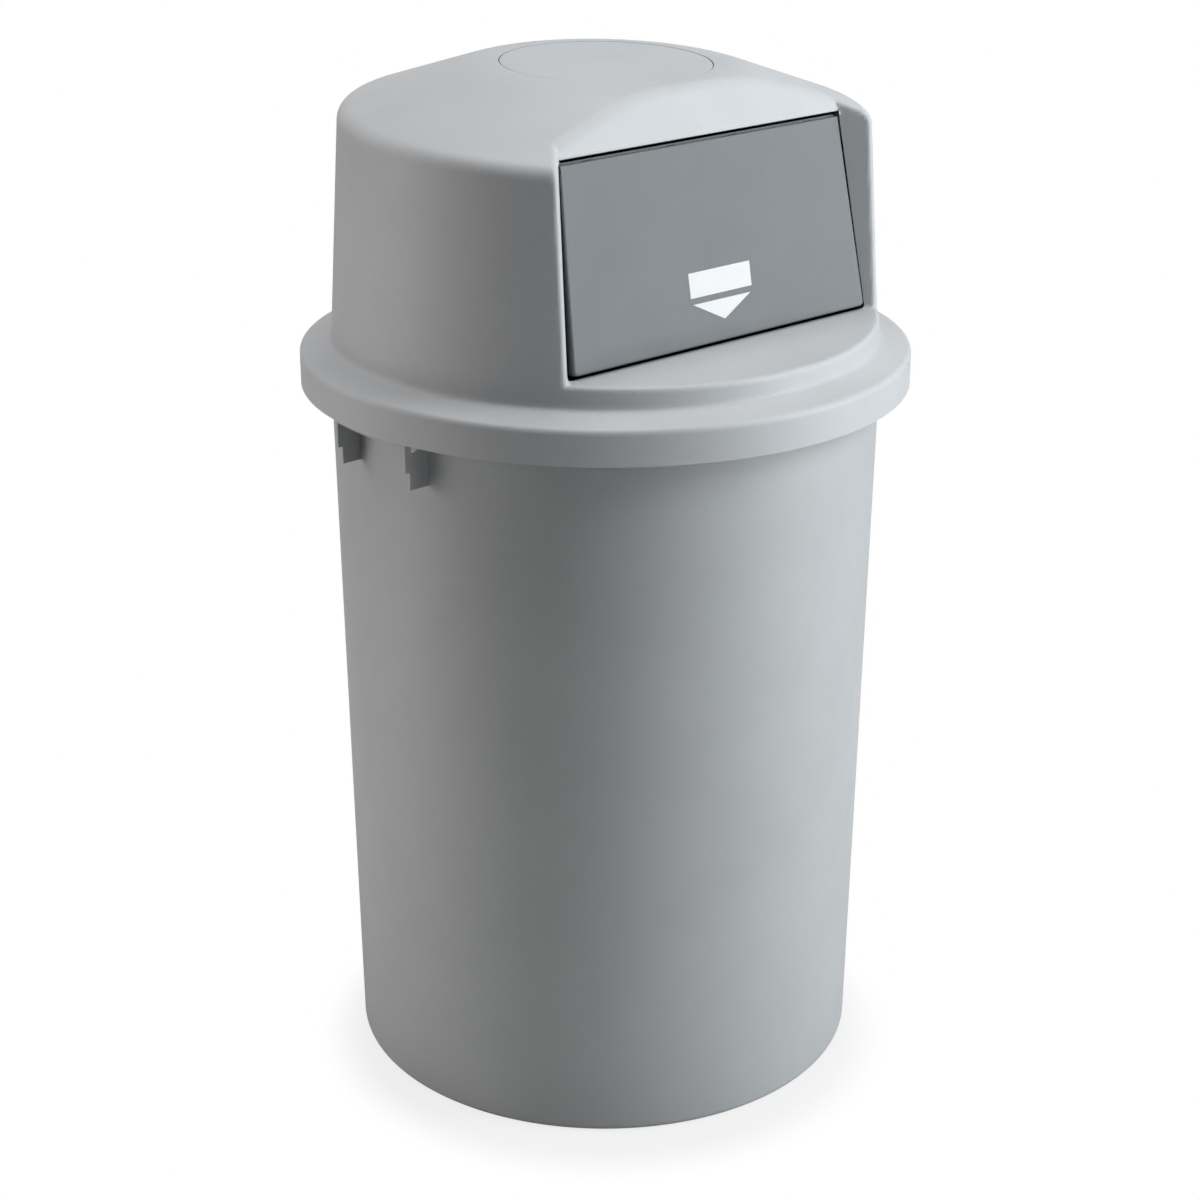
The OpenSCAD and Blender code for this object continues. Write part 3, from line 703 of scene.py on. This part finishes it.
def flap_distance(x, y, z):
    """Distance outside the moulded flap, in its own frame, in mm."""
    slope = (FLAP_LOW_HALF - FLAP_TOP_HALF) / FLAP_LENGTH
    lean = math.cos(math.atan(slope))
    side = (np.abs(x) - FLAP_TOP_HALF - slope * (HINGE_R - y)) * lean
    outline = round_max(side, FLAP_LOW - y, 5.0, 0.06)
    front = z - HINGE_R
    tray = round_max(round_max(outline, front, 2.0, 0.0), -(z - HINGE_R + FLAP_DEPTH), 0.8, 0.0)
    cavity = np.maximum(outline + FLAP_WALL, z - POCKET_R)
    past_top = np.maximum(-y - 4 * HINGE_R, z - POCKET_R)
    tray = round_max(tray, -cavity, 0.8, 0.0)
    tray = np.maximum(round_max(tray, -past_top, 0.8, 0.0), y)
    around = np.hypot(y, z)
    ends = np.abs(x) - FLAP_TOP_HALF
    # the face ends in a low lip, with a groove and the rolled ridge behind it
    lip = round_max(y - 6.2, z - HINGE_R, 0.8, 0.0)
    ridge = round_max(np.where(z > 0, y - HINGE_R, around - HINGE_R), z - 3.6, 0.5, 0.0)
    groove = np.maximum(np.abs(z - 4.6) - 1.0, 5.2 - y)
    rolled = np.maximum(np.minimum(lip, ridge), -groove)
    hood = np.maximum(np.maximum(rolled, POCKET_R - around), np.maximum(-y - 0.5, ends))
    shape = np.minimum(tray, hood)
    # the knuckles that the rod runs through: middle and width of each
    for middle, width in ((FLAP_TOP_HALF - 4.5, 9.0), (131.5, 10.0), (37.0, 10.0)):
        knuckle = round_max(around - HINGE_R + 0.2, np.abs(np.abs(x) - middle) - width / 2, 0.6, 0.0)
        shape = np.minimum(shape, knuckle)
    # the tails that rest on the rubber stops
    tail = np.maximum(np.abs(np.abs(x) - FLAP_TOP_HALF + 4.5) - 4.5, np.abs(y - 6.4) - 2.0)
    tail = np.maximum(tail, np.abs(z + 11.7) - 8.3)
    shape = round_min(shape, tail, 0.8, 0.0)
    for middle in FLAP_RIBS:
        rib = np.maximum(np.abs(x - middle) - RIB_HALF, np.abs(z - RIB_MIDDLE_Z) - 4.0)
        shape = round_min(shape, np.maximum(rib, np.maximum(FLAP_LOW + 1 - y, y + HINGE_R)), 0.8, 0.0)
    cross = np.maximum(np.abs(y - FLAP_LOW / 2) - RIB_HALF, np.abs(z - RIB_MIDDLE_Z) - 4.0)
    shape = round_min(shape, np.maximum(cross, np.abs(x) - FLAP_TOP_HALF + 8), 0.8, 0.0)
    return np.maximum(shape, ROD_R + 0.05 - around)


def make_flap():
    """The flap's own mesh, with finer steps where it has small shapes."""
    step = 1
    sides_knuckles_ribs = [(-180, -162), (-139, -107), (-44, -30), (30, 44), (107, 139), (162, 180)]
    along = graded(-180, 180, 4.0 * step, 1.3 * step, sides_knuckles_ribs)
    foot_rib_top = [(FLAP_LOW - 4, FLAP_LOW + 8), (FLAP_LOW / 2 - 4, FLAP_LOW / 2 + 4), (-12, 12)]
    up = graded(FLAP_LOW - 4, 12, 3.0 * step, 0.6 * step, foot_rib_top)
    through = graded(-24, 12, 0.8 * step, 0.4 * step, [(2.6, 6.4)])
    points, quads = skin(flap_distance, [along, up, through])
    way = slopes(flap_distance, points)[0]
    turned = way @ np.array(flap_place())[:3, :3].T
    part = moved((points, [list(q) for q in quads]), flap_place())
    piece("push_flap", [part], flap_plastic, "flap", ["flap"], turned)


def make_print():
    """A plain bar over a plain triangle, to show where the flap is pushed."""
    shapes = {"print_bar": [(-37, -104), (37, -104), (37, -126), (-37, -126)],
              "print_triangle": [(-35, -131.5), (35, -131.5), (1, -149.5)]}
    on_face = flap_place() @ Matrix.Translation((0, 0, HINGE_R + 0.06))
    for name, outline in shapes.items():
        plate = outline_plate(outline, [], 0.16, 0.03)
        piece(name, [moved(plate, on_face)], white_print, "flap")


# Tub
def tub_r(z):
    """Outer radius of the tapered side."""
    return TUB_FOOT_R + (TUB_TOP_R - TUB_FOOT_R) * z / SKIRT_Z


def tub_profile():
    """Foot ring, side, rim with its turned-down lip, inside and floor."""
    foot_c = TUB_FOOT_R - FOOT_R
    under = RIM_Z - 3.0
    lip_z = RIM_Z - 17.0
    profile = [(0.01, 9.0), (foot_c - 18.0, 9.0), (foot_c - 16.6, 0.6), (foot_c - 16.0, 0.0)]
    profile += arc(foot_c, FOOT_R, FOOT_R, 270, 360, 8)
    profile += [(tub_r(z), z) for z in np.linspace(60, under - 3, 12)]
    profile += arc(tub_r(under) + 2.0, under - 2.0, 2.0, 180, 90, 4)
    profile += arc(RIM_R - 5.0, under - 2.0, 2.0, 90, 0, 4)
    profile += [(RIM_R - 3.0, lip_z + 0.6), (RIM_R - 2.4, lip_z), (RIM_R - 0.6, lip_z), (RIM_R, lip_z + 0.6)]
    profile += arc(RIM_R - 3.0, RIM_Z - 3.0, 3.0, 0, 90, 6)
    profile += arc(tub_r(RIM_Z) - TUB_WALL + 2.0, RIM_Z - 2.0, 2.0, 90, 180, 4)
    profile += [(tub_r(z) - TUB_WALL, z) for z in np.linspace(640, 26, 10)]
    profile += arc(tub_r(14) - TUB_WALL - 12, 26.0, 12.0, -8, -90, 6)
    return profile + [(0.01, 14.0)]


def grip_rib(side, hand):
    """One of a grip's two ribs under the rim; the one nearer the flap has the cord hole."""
    foot_z, step_z, top_z = RIM_Z - 65, RIM_Z - 49, RIM_Z - 2
    wall = math.sqrt((tub_r(foot_z) - TUB_WALL / 2) ** 2 - GRIP_HALF ** 2)
    edge = math.sqrt((RIM_R - 0.4) ** 2 - GRIP_HALF ** 2)
    step = RIM_R - 9.4
    outline = [(wall, top_z), (edge, top_z), (edge, step_z), (step, step_z), (step, foot_z), (wall, foot_z)]
    holes = [(TUB_TOP_R + (RIM_R - TUB_TOP_R) / 2.6, RIM_Z - 29, CORD_HOLE_R)] if hand < 0 else []
    plate = outline_plate(outline[::-1], holes, GRIP_RIB, 0.4)
    upright = Matrix.Translation((0, hand * GRIP_HALF, 0)) @ Matrix.Rotation(math.radians(90), 4, "X")
    return moved(plate, mirrored(side) @ upright)


def grip_lip(side):
    """The deeper lip between a grip's ribs."""
    inner, outer, low, high = RIM_R - 2.7, RIM_R - 0.2, RIM_Z - 26, RIM_Z - 8
    ring = [(inner, high), (inner, low + 0.5), (inner + 0.5, low), (outer - 0.5, low), (outer, low + 0.5),
            (outer, high)]
    reach = math.asin(GRIP_HALF / RIM_R)
    turns, n = 24, len(ring)
    points = np.array([[r * math.cos(a), r * math.sin(a), z]
                       for a in np.linspace(-reach, reach, turns) for r, z in ring])
    band = []
    for k in range(turns - 1):
        for i in range(n):
            j = (i + 1) % n
            band.append([k * n + i, (k + 1) * n + i, (k + 1) * n + j, k * n + j])
    band.append(list(range(n)))
    band.append([(turns - 1) * n + i for i in reversed(range(n))])
    return moved((points, band), mirrored(side))


def make_tub():
    parts = [revolve(tub_profile(), 288)]
    for side in (-1, 1):
        parts += [grip_rib(side, -1), grip_rib(side, 1), grip_lip(side)]
    piece("tapered_tub", parts, tub_plastic, "tub", ["tub"])


# Springs
def make_springs():
    """Torsion springs round the hinge rod: one leg lies on the flap, the other under the lid's bracket."""
    steps = 24
    count = int(COIL_TURNS * steps)
    far = FLAP_TOP_HALF - 12.0
    near = far - 6 * COIL_PITCH
    path = [(near, -FLAP_LEG * (1 - f), COIL_R - 2 * COIL_R * f) for f in np.linspace(0, 0.9, 7)]
    for i in range(count + 1):
        a = math.pi - 2 * math.pi * i / steps
        path.append((near + (far - near) * i / count, COIL_R * math.sin(a), COIL_R * math.cos(a)))
    path += [(far, -COIL_R, -z) for z in (4.0, 8.0, 12.0, 16.0, LID_LEG)]
    for side, name in ((-1, "left"), (1, "right")):
        part = moved(wire(path, WIRE_R), mirrored(side) @ flap_place())
        # the coil's ends by its lid leg and its flap leg; the real coil winds up between its legs as the flap
        # turns, and this mesh stays as it is
        lid_end, flap_end = side * (far - 0.8) * MM, side * (near + 0.8) * MM
        ties = ("lid", "flap", (lid_end, 0, 0), (flap_end, 0, 0))
        piece("torsion_spring_" + name, [part], spring_steel, ties, ["spring_" + name])


def dress_small_parts():
    """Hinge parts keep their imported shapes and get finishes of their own."""
    finishes = {
        "hinge_rod": steel, "bracket_screws": steel,
        "rod_clip_left": spring_steel, "rod_clip_right": spring_steel,
        "stop_pad_left": rubber, "stop_pad_right": rubber,
        "bracket_left": lid_plastic, "bracket_right": lid_plastic,
    }
    for name, material in finishes.items():
        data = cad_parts[name].data
        data.materials.clear()
        data.materials.append(material)


# Room, light and camera
def make_floor():
    floor = new_material("pale studio floor")
    paper = node(floor, "ShaderNodeBsdfDiffuse", None, Color=srgb("#c2c2c2"))
    white = node(floor, "ShaderNodeEmission", None, Color=srgb("#ffffff"), Strength=1.0)
    # seen by the camera the paper goes to plain white away from the bin; near the bin less white is mixed in, which
    # paints a faint shade round it on top of the paper's own shadow, and this fades out
    place = node(floor, "ShaderNodeTexCoord").outputs["Object"]
    # painted shade: the ring's centre is moved towards the camera, so the painted shade reaches further on that
    # side
    middle = node(floor, "ShaderNodeVectorMath", {"operation": "ADD"}, i0=place, i1=(0.027, 0.03, 0.0))
    away = node(floor, "ShaderNodeVectorMath", {"operation": "LENGTH"}, i0=middle.outputs["Vector"])
    # painted shade: within 0.232 m of that centre the camera sees only 0.8 white, rising to all white at 0.292 m
    fade = node(floor, "ShaderNodeMapRange", {"interpolation_type": "SMOOTHSTEP"}, Value=away.outputs["Value"],
                i1=0.232, i2=0.292, i3=0.8, i4=1.0)
    camera_ray = node(floor, "ShaderNodeLightPath").outputs["Is Camera Ray"]
    share = node(floor, "ShaderNodeMath", {"operation": "MULTIPLY"}, i0=camera_ray, i1=fade.outputs[0]).outputs[0]
    mix = node(floor, "ShaderNodeMixShader", None, i0=share, i1=paper.outputs[0], i2=white.outputs[0])
    node(floor, "ShaderNodeOutputMaterial", None, Surface=mix.outputs[0])
    n, reach = 48, 9.0
    points = [[reach * (2 * i / n - 1), reach * (2 * j / n - 1), 0] for i in range(n + 1) for j in range(n + 1)]
    faces = [[i * (n + 1) + j, (i + 1) * (n + 1) + j, (i + 1) * (n + 1) + j + 1, i * (n + 1) + j + 1]
             for i in range(n) for j in range(n)]
    mesh = bpy.data.meshes.new("floor")
    mesh.from_pydata(points, [], faces)
    mesh.materials.append(floor)
    obj = bpy.data.objects.new("studio_floor", mesh)
    bpy.context.scene.collection.objects.link(obj)


def make_world():
    """The camera sees plain white behind the bin, and the bin gets only a faint even light from it."""
    world = bpy.data.worlds.new("studio")
    bpy.context.scene.world = world
    world.use_nodes = True
    world.node_tree.nodes.clear()
    faint = node(world, "ShaderNodeBackground", None, Color=srgb("#ffffff"), Strength=0.02)
    white = node(world, "ShaderNodeBackground", None, Color=srgb("#ffffff"), Strength=1.0)
    camera_ray = node(world, "ShaderNodeLightPath").outputs["Is Camera Ray"]
    mix = node(world, "ShaderNodeMixShader", None, i0=camera_ray, i1=faint.outputs[0], i2=white.outputs[0])
    node(world, "ShaderNodeOutputWorld", None, Surface=mix.outputs[0])


def soft_box(name, turn, rise, reach, width, height, power, colour="#ffffff", aim=0.62):
    """A soft box aimed at the bin's axis, at the height aim.

    It is turned in degrees from the flap towards +X, and raised in degrees.
    """
    data = bpy.data.lights.new(name, "AREA")
    data.shape = "RECTANGLE"
    data.size, data.size_y = width, height
    data.energy = power
    data.color = srgb(colour)[:3]
    turn, rise = math.radians(turn), math.radians(rise)
    way = Vector((math.sin(turn) * math.cos(rise), -math.cos(turn) * math.cos(rise), math.sin(rise)))
    obj = bpy.data.objects.new(name, data)
    obj.location = Vector((0, 0, aim)) + reach * way
    obj.rotation_euler = (-way).to_track_quat("-Z", "Y").to_euler()
    obj.visible_camera = False
    bpy.context.scene.collection.objects.link(obj)


def make_camera():
    """The camera that was fitted to the photo."""
    data = bpy.data.cameras.new("camera")
    data.lens = 75.745
    data.sensor_width = 36.0
    data.clip_end = 60.0
    obj = bpy.data.objects.new("camera", data)
    look = Vector((0.61707, 0.69540, -0.36830)).normalized()
    right = look.cross(Vector((0, 0, 1))).normalized()
    up = right.cross(look)
    roll = math.radians(0.093)
    right, up = right * math.cos(roll) + up * math.sin(roll), up * math.cos(roll) - right * math.sin(roll)
    m = Matrix((right, up, -look)).transposed().to_4x4()
    m.translation = Vector((-1.5109, -1.6957, 1.3413))
    obj.matrix_world = m
    bpy.context.scene.collection.objects.link(obj)
    bpy.context.scene.camera = obj


make_camera()
make_floor()
make_world()
# each one's turn and rise in degrees, its reach, width and height in metres, and its power in watts
soft_box("key, upper right", 30, 34, 2.8, 1.0, 1.2, 44, "#fdfeff")
soft_box("key, lower right", 38, 3, 2.8, 1.5, 1.2, 57, "#f6fbff")
soft_box("top", 0, 89.9, 2.6, 1.6, 1.6, 49, "#fefeff")
soft_box("left", -127, 8, 2.8, 1.6, 1.4, 26, "#fff9f7")
soft_box("left, low", -120, 0, 1.1, 0.8, 0.24, 1.1, "#fff9f7", 0.14)
soft_box("left, behind", -150, 40, 2.8, 1.2, 1.4, 13, "#fffbf9")
soft_box("backdrop glow", 138, 12, 2.8, 3.0, 1.6, 10)
bpy.context.scene.view_settings.view_transform = "Standard"

make_tub()
make_lid()
make_disc()
make_flap()
make_print()
make_springs()
dress_small_parts()
